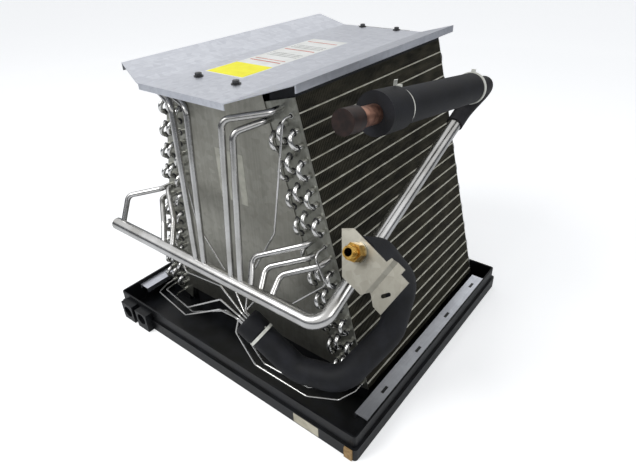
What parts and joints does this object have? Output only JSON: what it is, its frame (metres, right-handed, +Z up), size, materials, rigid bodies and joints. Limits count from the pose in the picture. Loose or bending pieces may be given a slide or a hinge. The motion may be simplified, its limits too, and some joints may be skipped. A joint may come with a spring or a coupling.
{
  "type": "a-coil evaporator",
  "caption": "Uncased A-shaped evaporator coil: two leaning fin-and-tube slabs in a drain pan, with suction header, feeder tubes, distributor and insulated lines.",
  "frame": {"origin": "centre of the drain pan's footprint, drain bosses included, at its underside", "axes": "+Z up, -Y the piping side that faces the installer, +X the right-hand slab when seen from the piping side"},
  "size_m": [0.6261, 0.532, 0.5239],
  "materials": {
    "pan_plastic": "moulded, satin black",
    "galvanised": "galvanised sheet, fine spangle",
    "fin_aluminium": "thin rolled fin stock, edge on",
    "tube_aluminium": "drawn tube, satin",
    "copper": "drawn copper tube, tarnished",
    "black_foam": "closed-cell elastomer foam",
    "brass": "machined brass",
    "zinc_steel": "zinc-plated steel",
    "cap_plastic": "soft moulded cap, dark",
    "tie_nylon": "natural nylon",
    "black_screw": "black oxide",
    "label_yellow": "plain coated paper",
    "label_white": "plain coated paper",
    "tan_pad": "fibre pad"
  },
  "bodies": {
    "root": {"baffle_strips": "label_white", "brass_fitting": "brass", "cable_ties": "tie_nylon", "capillaries_left": "tube_aluminium", "capillaries_right": "tube_aluminium", "corner_seal_pad": "tan_pad", "cover_foam_left": "black_foam", "cover_foam_right": "black_foam", "cover_label_white": "label_white", "cover_label_yellow": "label_yellow", "cover_screws": "black_screw", "cover_tab_front": "galvanised", "cover_tab_rear": "galvanised", "distributor": "brass", "drain_pan": "pan_plastic", "feeder_left_1": "tube_aluminium", "feeder_left_2": "tube_aluminium", "feeder_left_3": "tube_aluminium", "feeder_left_4": "tube_aluminium", "feeder_left_5": "tube_aluminium", "feeder_right_1": "tube_aluminium", "feeder_right_2": "tube_aluminium", "feeder_right_3": "tube_aluminium", "feeder_right_4": "tube_aluminium", "feeder_right_5": "tube_aluminium", "fin_pack_left": "fin_aluminium", "fin_pack_right": "fin_aluminium", "fitting_bracket": "galvanised", "fitting_ring": "zinc_steel", "front_baffle": "galvanised", "hairpins_left": "tube_aluminium", "hairpins_right": "tube_aluminium", "liquid_lagging": "black_foam", "liquid_tube": "copper", "pan_label": "label_white", "rear_baffle": "galvanised", "return_bends_left": "tube_aluminium", "return_bends_right": "tube_aluminium", "side_rail_left": "galvanised", "side_rail_right": "galvanised", "sleeve_cuff": "black_foam", "stub_cap": "cap_plastic", "stub_sleeve": "black_foam", "suction_header": "tube_aluminium", "suction_stub": "copper", "top_cover": "galvanised", "tube_sheet_front_left": "galvanised", "tube_sheet_front_right": "galvanised", "tube_sheet_rear_left": "galvanised", "tube_sheet_rear_right": "galvanised", "turn_wrap": "black_foam"}
  },
  "joints": []
}
